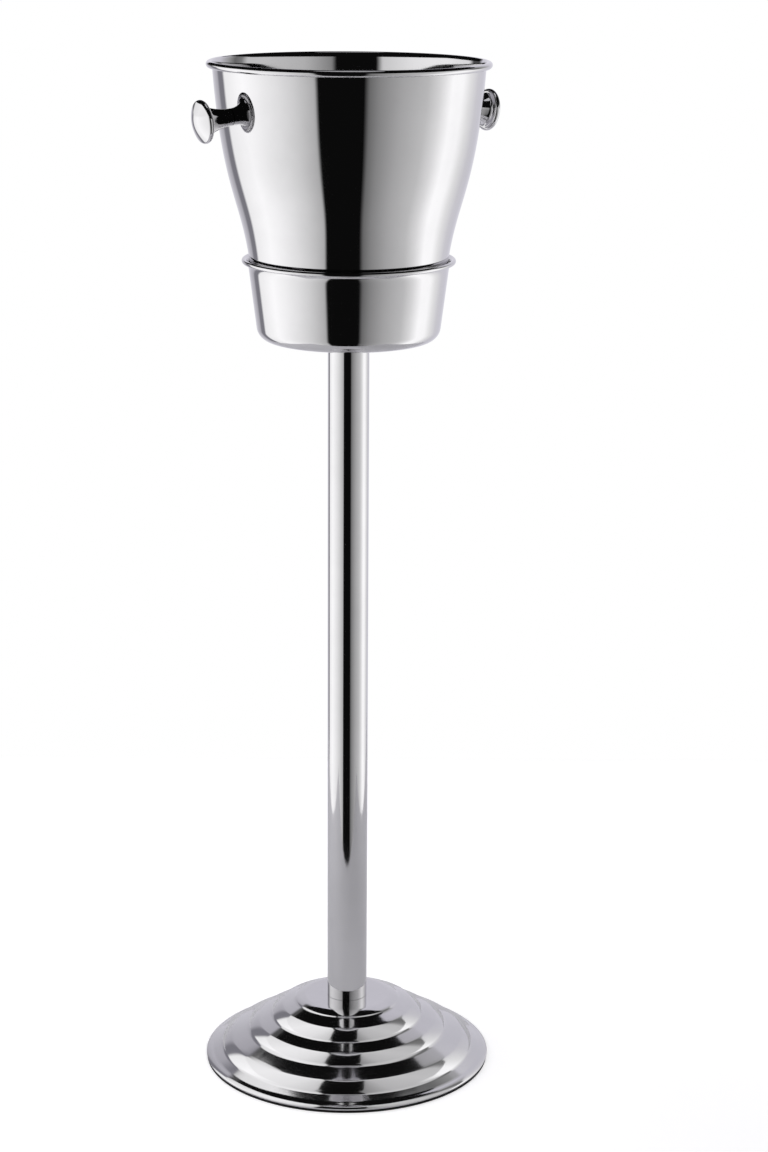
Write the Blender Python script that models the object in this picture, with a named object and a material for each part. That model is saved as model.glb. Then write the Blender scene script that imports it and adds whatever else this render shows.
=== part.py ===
"""Champagne bucket stand: stepped foot, column, holder cup and a lift-out bucket.

Metres, +Z up. The origin is on the floor, under the centre of the foot, and the bucket's two
knobs lie along X. Every round piece is turned from an outline of (radius, height) points.
"""

import math

import bmesh
import bpy
from mathutils import Vector

# ---- driving dimensions ---------------------------------------------------------------------

GAP = 0.0003                # between pieces that touch
SHEET = 0.0008              # drawn and spun stainless sheet

TUBE_RADIUS = 0.016         # 32 mm tube
TUBE_WALL = 0.0012

FOOT_RADIUS = 0.1154        # over the rolled edge
FOOT_HEIGHT = 0.0514        # flat top that the tube stands on
FOOT_BEAD = 0.0023          # radius of the rolled edge
FOOT_BEAD_HEIGHT = 0.0033   # its widest point above the floor

# Each step of the foot: tread's outer end, shoulder, and foot of the riser.
FOOT_STEPS = (
    ((0.0336, FOOT_HEIGHT), (0.0393, 0.0513), (0.0425, 0.0482)),
    ((0.0525, 0.0442), (0.0583, 0.0418), (0.0613, 0.0362)),
    ((0.0720, 0.0315), (0.0773, 0.0292), (0.0800, 0.0246)),
    ((0.0940, 0.0180), (0.0993, 0.0156), (0.1020, 0.0102)),
)
FOOT_SKIRT = ((0.1100, 0.0062), (0.1141, 0.0050), (FOOT_RADIUS, FOOT_BEAD_HEIGHT))

CUP_BOTTOM = 0.5935         # underside of the holder cup
CUP_TAPER = 0.128           # wall's growth in radius per height
CUP_CORNER = 0.011          # radius of the bottom corner
CUP_RADIUS = 0.0764         # outer wall radius where the lip begins
CUP_RADIUS_HEIGHT = 0.648
CUP_LIP = (0.0800, 0.6546)  # centre of the rolled lip
CUP_LIP_BEAD = 0.0018

NEST_GAP = 0.0006           # play between bucket and holder cup
BUCKET_BOTTOM = CUP_BOTTOM + SHEET + GAP
BUCKET_WALL_START = 0.6515  # the straight taper ends and the belly begins
BUCKET_WALL_RISE = 0.050    # height over which the taper still leads the curve
BUCKET_TOP_RADIUS = 0.1026  # outer wall radius under the rim
BUCKET_TOP_HEIGHT = 0.7965
BUCKET_TOP_TAPER = 0.078
BUCKET_TOP_RISE = 0.090
BUCKET_RIM = (0.1049, 0.8022)   # centre of the rolled rim
BUCKET_RIM_BEAD = 0.0026
BUCKET_RECESS_RADIUS = 0.036    # raised middle of the bucket's bottom
BUCKET_RECESS_RISE = 0.0074

KNOB_HEIGHT = 0.7665        # where a knob's axis meets the wall
KNOB_WALL_RADIUS = 0.0998   # outer wall radius at that height
KNOB_TILT = math.atan(0.118)    # the knobs stand square to the tapered wall
KNOB_NECK_RADIUS = 0.0064
KNOB_RIM = (0.0137, 0.0226)     # centre of the rounded edge of a knob's head
KNOB_RIM_BEAD = 0.0024
KNOB_LENGTH = 0.0293
KNOB_BORE_DEPTH = 0.0150

RING_INNER = 0.1040         # moulded ring under the foot's rolled edge
RING_OUTER = 0.1149
RING_FLANGE = 0.0007        # its flat edge on the floor
BALLAST_BOTTOM = 0.0045
BALLAST_RADIUS = 0.098
HUB_RADIUS = 0.0290         # of the ballast, under the tube
COUNTERBORE_RADIUS = 0.0155
COUNTERBORE_TOP = 0.0165
PLATE_BOTTOM = 0.0030
PLATE_TOP = 0.0042
PLATE_INNER = 0.0160
PLATE_OUTER = 0.1060
PLATE_SCREW_CIRCLE = 0.070

BOLT_RADIUS = 0.005         # M10
BOLT_ACROSS_FLATS = 0.017
BOLT_HEAD = (0.0052, 0.0115)    # bottom and top
BOLT_END = 0.0780
PLATE_SCREW_RADIUS = 0.002  # M4
HOLDER_SCREW_RADIUS = 0.004  # M8
KNOB_SCREW_RADIUS = 0.0025  # M5
CLEARANCE = 0.0004          # round a shank in its hole
PLUG_RADIUS = TUBE_RADIUS - TUBE_WALL - GAP
PLUG_LENGTH = 0.030

BIG_SEGMENTS = 40
KNOB_SEGMENTS = 24
SMALL_SEGMENTS = 16
WALL_STEPS = 9


# ---- outlines -------------------------------------------------------------------------------

def arc(centre, radius, start, end, steps):
    """Points on a circle in the outline plane, angles in degrees from the +radius direction."""
    points = []
    for i in range(steps + 1):
        angle = math.radians(start + (end - start) * i / steps)
        points.append((centre[0] + radius * math.cos(angle), centre[1] + radius * math.sin(angle)))
    return points


def bezier(controls, steps):
    """Points on a quadratic or cubic Bezier curve, both ends included."""
    points = []
    for i in range(steps + 1):
        level = [Vector(control) for control in controls]
        t = i / steps
        while len(level) > 1:
            level = [a.lerp(b, t) for a, b in zip(level, level[1:])]
        points.append((level[0].x, level[0].y))
    return points


def offset(points, distance):
    """The open outline moved sideways, to the right of its direction of travel."""
    moved = []
    for i, point in enumerate(points):
        before = Vector(points[max(i - 1, 0)])
        after = Vector(points[min(i + 1, len(points) - 1)])
        travel = (after - before).normalized()
        moved.append((point[0] + travel.y * distance, point[1] - travel.x * distance))
    return moved


def wall_radius(height, inset):
    """Radius of the holder cup's straight tapered wall, moved inwards by inset."""
    radius = CUP_RADIUS + (height - CUP_RADIUS_HEIGHT) * CUP_TAPER
    return radius - inset * math.hypot(1.0, CUP_TAPER)


def bottom_corner(bottom, radius, inset, steps):
    """The rounded corner from a flat bottom up into the tapered wall."""
    lean = math.atan(CUP_TAPER)
    centre_height = bottom + radius
    centre_radius = wall_radius(centre_height, inset) - radius / math.cos(lean)
    return arc((centre_radius, centre_height), radius, -90.0, -math.degrees(lean), steps)


# ---- materials and turned bodies ------------------------------------------------------------

def make_material(name, colour, metallic, roughness):
    material = bpy.data.materials.new(name)
    material.use_nodes = True
    shader = material.node_tree.nodes["Principled BSDF"]
    shader.inputs["Base Color"].default_value = (*colour, 1.0)
    shader.inputs["Metallic"].default_value = metallic
    shader.inputs["Roughness"].default_value = roughness
    material.diffuse_color = (*colour, 1.0)
    return material


STEEL = (0.80, 0.80, 0.82)
FASTENER_STEEL = (0.62, 0.62, 0.64)
ZINC = (0.55, 0.56, 0.58)
IRON = (0.09, 0.09, 0.10)
RUBBER = (0.02, 0.02, 0.022)


def place(obj, parent=None, location=(0.0, 0.0, 0.0), rotation=(0.0, 0.0, 0.0)):
    obj.parent = parent
    obj.location = location
    obj.rotation_euler = rotation


def add_mesh_object(name, mesh_builder, material):
    mesh = bpy.data.meshes.new(name)
    mesh_builder.to_mesh(mesh)
    mesh_builder.free()
    obj = bpy.data.objects.new(name, mesh)
    bpy.context.collection.objects.link(obj)
    if material:
        mesh.materials.append(material)
    mesh.shade_smooth()
    mesh.set_sharp_from_angle(angle=math.radians(35.0))
    return obj


def spin_outline(builder, outline, segments, closed, centre=(0.0, 0.0)):
    """Turn an outline of (radius, height) points about a vertical axis through centre."""
    axis_point = Vector((centre[0], centre[1], 0.0))
    verts = [builder.verts.new(axis_point + Vector((r, 0.0, z))) for r, z in outline]
    pairs = list(zip(verts, verts[1:]))
    if closed:
        pairs.append((verts[-1], verts[0]))
    edges = [builder.edges.new(pair) for pair in pairs]
    bmesh.ops.spin(builder, geom=verts + edges, cent=axis_point, axis=(0.0, 0.0, 1.0),
                   angle=2.0 * math.pi, steps=segments, use_merge=True, use_duplicate=False)


def turned(name, outline, material, segments=SMALL_SEGMENTS, closed=True, centres=((0.0, 0.0),)):
    """A turned body; as a cutter, the same body at each of several centres.

    A closed outline makes a ring. An open outline starts and ends on the axis.
    """
    builder = bmesh.new()
    for centre in centres:
        spin_outline(builder, outline, segments, closed, centre)
    bmesh.ops.remove_doubles(builder, verts=builder.verts, dist=1e-6)
    bmesh.ops.recalc_face_normals(builder, faces=builder.faces)
    return add_mesh_object(name, builder, material)


def tube_outline(inner, outer, bottom, top):
    return [(inner, bottom), (outer, bottom), (outer, top), (inner, top)]


def rod_outline(radius, bottom, top):
    return [(0.0, bottom), (radius, bottom), (radius, top), (0.0, top)]


def cut(obj, cutter):
    """Take the cutter's shape out of the object."""
    cutter.hide_render = True
    cutter.display_type = "WIRE"
    modifier = obj.modifiers.new("cut_" + cutter.name, "BOOLEAN")
    modifier.operation = "DIFFERENCE"
    modifier.solver = "EXACT"
    modifier.object = cutter


def circle_of(count, radius):
    angles = [2.0 * math.pi * (i + 0.5) / count for i in range(count)]
    return [(radius * math.cos(angle), radius * math.sin(angle)) for angle in angles]


# ---- foot -----------------------------------------------------------------------------------

def foot_surface(riser_steps):
    """The foot's top side from the flat top to the widest point of its rolled edge."""
    points = []
    for step in FOOT_STEPS:
        points += bezier(step, riser_steps)
    points += bezier(FOOT_SKIRT, riser_steps)
    return points


def make_base_cover():
    """Spun shell: flat top, four rounded steps, skirt and an edge rolled under."""
    hole = BOLT_RADIUS + 2.0 * GAP
    bead_centre = (FOOT_RADIUS - FOOT_BEAD, FOOT_BEAD_HEIGHT)
    outside = [(hole, FOOT_HEIGHT)] + foot_surface(3)
    outside += arc(bead_centre, FOOT_BEAD, 0.0, -180.0, 6)[1:]
    inside = [(hole, FOOT_HEIGHT)] + foot_surface(2)[:-2]
    inside = offset(inside, SHEET)
    outline = outside + list(reversed(inside))
    material = make_material("polished_base_cover", STEEL, 1.0, 0.06)
    return turned("base_cover", outline, material, BIG_SEGMENTS)


def make_base_edge_ring():
    """Moulded ring under the rolled edge: its flat underside stands on the floor."""
    bead_inner = FOOT_RADIUS - 2.0 * FOOT_BEAD
    outline = [
        (RING_INNER, 0.0), (RING_OUTER, 0.0), (RING_OUTER, RING_FLANGE), (0.1116, RING_FLANGE),
        (bead_inner - 2.0 * GAP, 0.0016), (bead_inner - 2.0 * GAP, PLATE_TOP),
        (PLATE_OUTER + CLEARANCE, PLATE_TOP), (PLATE_OUTER + CLEARANCE, PLATE_BOTTOM - GAP),
        (RING_INNER, PLATE_BOTTOM - GAP),
    ]
    material = make_material("black_edge_ring", RUBBER, 0.0, 0.55)
    return turned("base_edge_ring", outline, material, BIG_SEGMENTS)


def make_base_ballast():
    """Cast weight: a heavy disc with a hub that carries the tube's clamp load."""
    bore = BOLT_RADIUS + CLEARANCE + GAP
    top = FOOT_HEIGHT - SHEET - GAP
    outline = [
        (COUNTERBORE_RADIUS, BALLAST_BOTTOM), (BALLAST_RADIUS, BALLAST_BOTTOM),
        (BALLAST_RADIUS, 0.0100), (0.0840, 0.0175), (0.0320, 0.0330),
        (HUB_RADIUS, 0.0360), (HUB_RADIUS, top), (bore, top),
        (bore, COUNTERBORE_TOP), (COUNTERBORE_RADIUS, COUNTERBORE_TOP),
    ]
    material = make_material("ballast_iron", IRON, 0.6, 0.75)
    ballast = turned("base_ballast", outline, material, BIG_SEGMENTS)
    screw_holes = turned("ballast_screw_holes",
                         rod_outline(PLATE_SCREW_RADIUS + GAP, 0.0, 0.0135), None, 12,
                         closed=False, centres=circle_of(3, PLATE_SCREW_CIRCLE))
    cut(ballast, screw_holes)


def make_base_plate():
    """Pressed bottom plate with an access hole for the bolt's spanner."""
    outline = tube_outline(PLATE_INNER, PLATE_OUTER, PLATE_BOTTOM, PLATE_TOP)
    plate = turned("base_plate", outline, make_material("zinc_base_plate", ZINC, 1.0, 0.42),
                   BIG_SEGMENTS)
    screw_holes = turned("plate_screw_holes",
                         rod_outline(PLATE_SCREW_RADIUS + GAP, 0.0, 0.0100), None, 12,
                         closed=False, centres=circle_of(3, PLATE_SCREW_CIRCLE))
    cut(plate, screw_holes)


def pan_screw_outline(shank, head, seat, head_height, tip, recess=0.0):
    """Pan-head screw pointing up, its head's underside at the height called seat."""
    low = seat - head_height
    outline = []
    if recess:
        outline += [(0.0, low + 0.6 * head_height), (recess, low + 0.6 * head_height)]
        outline += [(recess, low)]
    else:
        outline += [(0.0, low)]
    outline += [(0.72 * head, low), (head, low + 0.45 * head_height), (head, seat)]
    outline += [(shank, seat), (shank, tip - 0.4 * shank), (0.5 * shank, tip), (0.0, tip)]
    return outline


def make_base_plate_screws():
    """Three equal pan-head screws, threaded into the ballast from below."""
    outline = pan_screw_outline(PLATE_SCREW_RADIUS, 0.0038, PLATE_BOTTOM - GAP, 0.0021, 0.0122,
                                recess=0.0013)
    for i, (x, y) in enumerate(circle_of(3, PLATE_SCREW_CIRCLE)):
        material = make_material("plate_screw_steel_%d" % (i + 1), FASTENER_STEEL, 1.0, 0.30)
        screw = turned("base_plate_screw_%d" % (i + 1), outline, material, 12, closed=False)
        place(screw, location=(x, y, 0.0))


def make_base_washers():
    """Plain washer against the ballast, and a split washer under the bolt's head."""
    plain = tube_outline(BOLT_RADIUS + 0.0006, 0.0105, 0.0144, COUNTERBORE_TOP - GAP)
    turned("base_washer", plain, make_material("base_washer_zinc", ZINC, 1.0, 0.32),
           SMALL_SEGMENTS)
    ring = tube_outline(BOLT_RADIUS + 0.0006, 0.0090, 0.0118, 0.0141)
    spring = turned("base_spring_washer", ring,
                    make_material("spring_washer_zinc", ZINC, 1.0, 0.38), SMALL_SEGMENTS)
    builder = bmesh.new()
    bmesh.ops.create_cube(builder, size=1.0)
    bmesh.ops.scale(builder, vec=(0.0080, 0.0012, 0.0080), verts=builder.verts)
    slit = add_mesh_object("spring_washer_slit", builder, None)
    place(slit, location=(0.0075, 0.0, 0.0130), rotation=(math.radians(35.0), 0.0, 0.0))
    cut(spring, slit)


def hexagon_prism(builder, across_flats, bottom, top):
    """A hexagon head with chamfered lower corners."""
    corner = across_flats / math.sqrt(3.0)
    rings = []
    for scale, height in ((0.88, bottom), (1.0, bottom + 0.0009), (1.0, top)):
        ring = []
        for i in range(6):
            angle = math.radians(60.0 * i)
            ring.append(builder.verts.new((scale * corner * math.cos(angle),
                                           scale * corner * math.sin(angle), height)))
        rings.append(ring)
    for lower, upper in zip(rings, rings[1:]):
        for i in range(6):
            j = (i + 1) % 6
            builder.faces.new((lower[i], lower[j], upper[j], upper[i]))
    builder.faces.new(list(reversed(rings[0])))
    builder.faces.new(rings[-1])


def make_base_bolt():
    """Hexagon bolt from under the ballast up into the tube's lower plug."""
    builder = bmesh.new()
    hexagon_prism(builder, BOLT_ACROSS_FLATS, *BOLT_HEAD)
    material = make_material("bolt_zinc", ZINC, 1.0, 0.30)
    bolt = add_mesh_object("base_bolt", builder, material)
    inside_head = 0.0080
    shank_outline = [(0.0, inside_head), (BOLT_RADIUS, inside_head),
                     (BOLT_RADIUS, BOLT_END - 0.0015), (0.0036, BOLT_END), (0.0, BOLT_END)]
    shank = turned("bolt_shank", shank_outline, None, SMALL_SEGMENTS, closed=False)
    shank.hide_render = True
    shank.display_type = "WIRE"
    union = bolt.modifiers.new("shank", "BOOLEAN")
    union.operation = "UNION"
    union.solver = "EXACT"
    union.object = shank


# ---- column ---------------------------------------------------------------------------------

def make_column():
    """Plain tube between foot and holder cup, with a threaded plug in each end."""
    bottom = FOOT_HEIGHT + GAP
    top = CUP_BOTTOM - GAP
    tube = tube_outline(TUBE_RADIUS - TUBE_WALL, TUBE_RADIUS, bottom, top)
    turned("pole_tube", tube, make_material("polished_tube", STEEL, 1.0, 0.05), BIG_SEGMENTS)
    lower = tube_outline(BOLT_RADIUS + CLEARANCE, PLUG_RADIUS, bottom, bottom + PLUG_LENGTH)
    turned("pole_bottom_plug", lower, make_material("bottom_plug_steel", ZINC, 1.0, 0.40),
           SMALL_SEGMENTS)
    upper = tube_outline(HOLDER_SCREW_RADIUS + CLEARANCE, PLUG_RADIUS, top - PLUG_LENGTH, top)
    turned("pole_top_plug", upper, make_material("top_plug_steel", ZINC, 1.0, 0.40),
           SMALL_SEGMENTS)


# ---- holder cup -----------------------------------------------------------------------------

def make_holder_cup():
    """Drawn cup: flat floor with a screw hole, tapered wall, flared and rolled lip."""
    hole = HOLDER_SCREW_RADIUS + 2.0 * GAP
    lip_r, lip_z = CUP_LIP
    wall_top = CUP_RADIUS_HEIGHT
    outside = [(hole, CUP_BOTTOM)] + bottom_corner(CUP_BOTTOM, CUP_CORNER, 0.0, 4)
    flare_end = arc(CUP_LIP, CUP_LIP_BEAD, 220.0, 220.0, 1)[0]
    outside += bezier(((CUP_RADIUS, wall_top), (CUP_RADIUS + 0.0006, lip_z - 0.0029), flare_end), 3)
    outside += arc(CUP_LIP, CUP_LIP_BEAD, 220.0, 480.0, 7)[1:]
    crown = outside[-1]
    inside = bezier((crown, (lip_r - 0.0034, lip_z + 0.0006),
                     (wall_radius(wall_top - 0.002, SHEET), wall_top - 0.002)), 3)[1:]
    inner_corner = bottom_corner(CUP_BOTTOM + SHEET, CUP_CORNER - SHEET, SHEET, 4)
    inside += list(reversed(inner_corner)) + [(hole, CUP_BOTTOM + SHEET)]
    material = make_material("polished_holder_cup", STEEL, 1.0, 0.05)
    return turned("holder_cup", outside + inside, material, BIG_SEGMENTS)


def make_holder_fixing():
    """Washer and low-head screw that clamp the cup's floor to the tube."""
    floor = CUP_BOTTOM + SHEET + GAP
    washer_top = floor + 0.0016
    seat = washer_top + GAP
    washer = tube_outline(HOLDER_SCREW_RADIUS + 0.0005, 0.0120, floor, washer_top)
    turned("holder_washer", washer, make_material("holder_washer_steel", FASTENER_STEEL, 1.0, 0.25),
           SMALL_SEGMENTS)
    screw = [(0.0, seat + 0.0018), (0.0028, seat + 0.0018), (0.0028, seat + 0.0042)]
    screw += [(0.0062, seat + 0.0036), (0.0084, seat + 0.0018), (0.0087, seat)]
    screw += [(HOLDER_SCREW_RADIUS, seat), (HOLDER_SCREW_RADIUS, seat - 0.0260),
              (0.0028, seat - 0.0275), (0.0, seat - 0.0275)]
    turned("holder_screw", screw, make_material("holder_screw_steel", FASTENER_STEEL, 1.0, 0.25),
           SMALL_SEGMENTS, closed=False)


# ---- bucket ---------------------------------------------------------------------------------

def bucket_wall(inset, steps):
    """The bucket's curved wall, from the end of the straight taper up to the rim."""
    start = wall_radius(BUCKET_WALL_START, SHEET + NEST_GAP)
    top = (BUCKET_TOP_RADIUS, BUCKET_TOP_HEIGHT)
    controls = (
        (start, BUCKET_WALL_START),
        (start + BUCKET_WALL_RISE * CUP_TAPER, BUCKET_WALL_START + BUCKET_WALL_RISE),
        (top[0] - BUCKET_TOP_RISE * BUCKET_TOP_TAPER, top[1] - BUCKET_TOP_RISE),
        top,
    )
    points = bezier(controls, steps)
    return offset(points, -inset) if inset else points


def bucket_corner(depth):
    corner = CUP_CORNER - SHEET - NEST_GAP + GAP
    return bottom_corner(BUCKET_BOTTOM + depth, corner - depth, SHEET + NEST_GAP + depth, 4)


def make_bucket_shell():
    """Drawn bucket: raised middle, rounded corner, belly and a rim rolled outwards."""
    rim_r, rim_z = BUCKET_RIM
    recess = BUCKET_BOTTOM + BUCKET_RECESS_RISE
    slope = 0.0045
    outside = [(0.0, recess), (BUCKET_RECESS_RADIUS, recess)]
    outside += [(BUCKET_RECESS_RADIUS + slope, BUCKET_BOTTOM)] + bucket_corner(0.0)
    outside += bucket_wall(0.0, WALL_STEPS)[:-1]
    rim_join = arc(BUCKET_RIM, BUCKET_RIM_BEAD, 212.0, 212.0, 1)[0]
    outside += bezier(((BUCKET_TOP_RADIUS, BUCKET_TOP_HEIGHT),
                       (BUCKET_TOP_RADIUS + 0.0001, BUCKET_TOP_HEIGHT + 0.0032), rim_join), 2)
    outside += arc(BUCKET_RIM, BUCKET_RIM_BEAD, 212.0, 480.0, 8)[1:]
    inner_top = (BUCKET_TOP_RADIUS - SHEET, BUCKET_TOP_HEIGHT)
    inside = bezier((outside[-1], (rim_r - 0.0026, rim_z + 0.0014), inner_top), 3)[1:]
    inside += list(reversed(bucket_wall(SHEET, WALL_STEPS)))[1:]
    inside += list(reversed(bucket_corner(SHEET)))
    inside += [(BUCKET_RECESS_RADIUS + slope + 0.0004, BUCKET_BOTTOM + SHEET),
               (BUCKET_RECESS_RADIUS + 0.0004, recess + SHEET), (0.0, recess + SHEET)]
    material = make_material("polished_bucket", STEEL, 1.0, 0.05)
    return turned("bucket_shell", outside + inside, material, BIG_SEGMENTS, closed=False)


def knob_outline():
    """Mushroom knob: slim neck that swells to a head with a rounded edge and a domed face."""
    bore = KNOB_SCREW_RADIUS + GAP
    start = -0.0030         # inside the wall, whose shape is then cut away
    outline = [(0.0, KNOB_BORE_DEPTH), (bore, KNOB_BORE_DEPTH), (bore, start),
               (KNOB_NECK_RADIUS, start)]
    outline += bezier(((KNOB_NECK_RADIUS, 0.0), (0.0063, 0.0050), (0.0076, 0.0120),
                       (0.0096, 0.0165)), 5)
    edge = arc(KNOB_RIM, KNOB_RIM_BEAD, -100.0, 62.0, 6)
    outline += bezier(((0.0096, 0.0165), (0.0105, 0.0188), (0.0114, 0.0202), edge[0]), 3)[1:]
    outline += edge[1:]
    outline += bezier((edge[-1], (0.0105, 0.0270), (0.0055, KNOB_LENGTH), (0.0, KNOB_LENGTH)),
                      4)[1:]
    return outline


def make_knob(side, sign):
    """A knob with its gasket, washer and screw, all turned about the mount's own Z axis."""
    mount = bpy.data.objects.new(side + "_knob_mount", None)
    bpy.context.collection.objects.link(mount)
    place(mount, location=(sign * KNOB_WALL_RADIUS, 0.0, KNOB_HEIGHT),
          rotation=(0.0, sign * (math.pi / 2.0 + KNOB_TILT), 0.0))

    knob = turned(side + "_knob", knob_outline(),
                  make_material("polished_%s_knob" % side, STEEL, 1.0, 0.04),
                  KNOB_SEGMENTS, closed=False)
    seat = -SHEET - 0.0010     # clear of the wall, which curves in beside the hole
    gasket_low = seat - 0.0010
    washer_top = gasket_low - GAP
    washer_low = washer_top - 0.0010
    gasket = turned(side + "_knob_gasket",
                    tube_outline(KNOB_SCREW_RADIUS + CLEARANCE, 0.0080, gasket_low, seat),
                    make_material(side + "_gasket_rubber", RUBBER, 0.0, 0.6), SMALL_SEGMENTS)
    washer = turned(side + "_knob_washer",
                    tube_outline(KNOB_SCREW_RADIUS + CLEARANCE, 0.0075, washer_low, washer_top),
                    make_material(side + "_knob_washer_steel", FASTENER_STEEL, 1.0, 0.25),
                    SMALL_SEGMENTS)
    screw = turned(side + "_knob_screw",
                   pan_screw_outline(KNOB_SCREW_RADIUS, 0.0048, washer_low - GAP, 0.0030, 0.0130,
                                     recess=0.0016),
                   make_material(side + "_knob_screw_steel", FASTENER_STEEL, 1.0, 0.25),
                   SMALL_SEGMENTS, closed=False)
    for piece in (knob, gasket, washer, screw):
        place(piece, parent=mount)
    return mount, knob


def make_bucket():
    """The bucket with its two knobs, their holes, and necks cut to follow the wall."""
    shell = make_bucket_shell()
    wall = [(0.0, BUCKET_WALL_START)] + offset(bucket_wall(0.0, WALL_STEPS), GAP)
    wall += [(0.0, BUCKET_TOP_HEIGHT)]
    wall_cutter = turned("knob_neck_cutter", wall, None, BIG_SEGMENTS, closed=False)
    for side, sign in (("left", -1.0), ("right", 1.0)):
        mount, knob = make_knob(side, sign)
        cut(knob, wall_cutter)
        hole = turned(side + "_screw_hole",
                      rod_outline(KNOB_SCREW_RADIUS + CLEARANCE, -0.0040, 0.0040), None,
                      SMALL_SEGMENTS, closed=False)
        place(hole, parent=mount)
        cut(shell, hole)


def main():
    for obj in list(bpy.data.objects):
        bpy.data.objects.remove(obj, do_unlink=True)
    make_base_cover()
    make_base_edge_ring()
    make_base_ballast()
    make_base_plate()
    make_base_plate_screws()
    make_base_washers()
    make_base_bolt()
    make_column()
    make_holder_cup()
    make_holder_fixing()
    make_bucket()


main()
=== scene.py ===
"""Champagne bucket stand: the visual model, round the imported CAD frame.

Metres, +Z up. Every round piece is turned from an outline of (radius, height) points, which are
the CAD model's own dimensions at a finer step. Only the foot's risers differ: their curves are up
to half a millimetre flatter than the CAD's.
"""

import math

import bmesh
import bpy
from mathutils import Matrix, Vector


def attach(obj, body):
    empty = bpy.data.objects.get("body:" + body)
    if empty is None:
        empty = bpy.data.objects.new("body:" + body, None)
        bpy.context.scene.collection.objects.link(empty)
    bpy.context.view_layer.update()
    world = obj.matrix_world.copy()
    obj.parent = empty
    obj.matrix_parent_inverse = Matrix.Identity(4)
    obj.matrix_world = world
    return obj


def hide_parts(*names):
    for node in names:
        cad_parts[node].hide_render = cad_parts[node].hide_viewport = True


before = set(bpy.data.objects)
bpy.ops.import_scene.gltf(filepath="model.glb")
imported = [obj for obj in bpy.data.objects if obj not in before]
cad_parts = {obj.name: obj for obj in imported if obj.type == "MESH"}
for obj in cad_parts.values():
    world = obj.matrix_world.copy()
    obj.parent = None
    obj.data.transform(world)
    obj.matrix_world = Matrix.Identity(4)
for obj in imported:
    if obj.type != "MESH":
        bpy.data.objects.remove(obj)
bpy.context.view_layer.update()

# ---- dimensions, the CAD model's but for the two pulls ------------------------------------------

GAP = 0.0003
SHEET = 0.0008
TUBE_RADIUS = 0.016
TUBE_WALL = 0.0012

FOOT_RADIUS = 0.1154
FOOT_HEIGHT = 0.0514
FOOT_BEAD = 0.0023
FOOT_BEAD_HEIGHT = 0.0033
FOOT_HOLE = 0.0056
FOOT_STEPS = (
    ((0.0336, FOOT_HEIGHT), (0.0393, 0.0513), (0.0425, 0.0482)),
    ((0.0525, 0.0442), (0.0583, 0.0418), (0.0613, 0.0362)),
    ((0.0720, 0.0315), (0.0773, 0.0292), (0.0800, 0.0246)),
    ((0.0940, 0.0180), (0.0993, 0.0156), (0.1020, 0.0102)),
)
FOOT_SKIRT = ((0.1100, 0.0062), (0.1141, 0.0050), (FOOT_RADIUS, FOOT_BEAD_HEIGHT))
SHOULDER_PULL = 0.25    # how far each riser's curve is drawn towards its shoulder
RISER_PULL = 0.55

RING_INNER = 0.1040
RING_OUTER = 0.1149
RING_FLANGE = 0.0007
RING_STEP = (0.1116, 0.0016)    # where the flange ends and where the upright begins
PLATE_BOTTOM = 0.0030
PLATE_TOP = 0.0042
PLATE_OUTER = 0.1060
PLATE_SCREW_CIRCLE = 0.070
CLEARANCE = 0.0004
PLATE_SCREW_RADIUS = 0.002
HOLDER_SCREW_RADIUS = 0.004
KNOB_SCREW_RADIUS = 0.0025
GASKET_RADIUS = 0.0080
WASHER_RADIUS = 0.0075
HOLDER_WASHER_RADIUS = 0.0120
SEAL_THICKNESS = 0.0010     # gasket and washer inside the bucket
HOLDER_WASHER_THICKNESS = 0.0016

CUP_BOTTOM = 0.5935
CUP_TAPER = 0.128
CUP_CORNER = 0.011
CUP_RADIUS = 0.0764
CUP_RADIUS_HEIGHT = 0.648
CUP_LIP = (0.0800, 0.6546)
CUP_LIP_BEAD = 0.0018
CUP_HOLE = 0.0046

NEST_GAP = 0.0006
BUCKET_BOTTOM = CUP_BOTTOM + SHEET + GAP
BUCKET_WALL_START = 0.6515
BUCKET_WALL_RISE = 0.050
BUCKET_TOP_RADIUS = 0.1026
BUCKET_TOP_HEIGHT = 0.7965
BUCKET_TOP_TAPER = 0.078
BUCKET_TOP_RISE = 0.090
BUCKET_RIM = (0.1049, 0.8022)
BUCKET_RIM_BEAD = 0.0026
BUCKET_RECESS_RADIUS = 0.036
BUCKET_RECESS_RISE = 0.0074

KNOB_HEIGHT = 0.7665
KNOB_WALL_RADIUS = 0.0998
KNOB_TILT = math.atan(0.118)
KNOB_BORE = KNOB_SCREW_RADIUS + GAP
KNOB_BORE_DEPTH = 0.0150
KNOB_NECK_RADIUS = 0.0064
KNOB_NECK_START = -0.0010   # then moved out on to the wall
KNOB_RIM = (0.0137, 0.0226)
KNOB_RIM_BEAD = 0.0024
KNOB_LENGTH = 0.0293

BIG_SEGMENTS = 256
KNOB_SEGMENTS = 128
SMALL_SEGMENTS = 72

# ---- the photographer's place ------------------------------------------------------------------

CAMERA_TURN = math.radians(29.5)   # from straight in front round towards the left knob
CAMERA_DISTANCE = 2.0448
CAMERA_HEIGHT = 0.943
CAMERA_ASIDE = 0.0283               # to the camera's own right
CAMERA_PITCH = math.radians(14.73)
CAMERA_ROLL = math.radians(0.35)
CAMERA_LENS = 83.93


# ---- outlines ----------------------------------------------------------------------------------

def arc(centre, radius, start, end, steps):
    """Points on a circle in the outline plane, angles in degrees from the +radius direction."""
    points = []
    for i in range(steps + 1):
        angle = math.radians(start + (end - start) * i / steps)
        points.append((centre[0] + radius * math.cos(angle), centre[1] + radius * math.sin(angle)))
    return points


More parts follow.
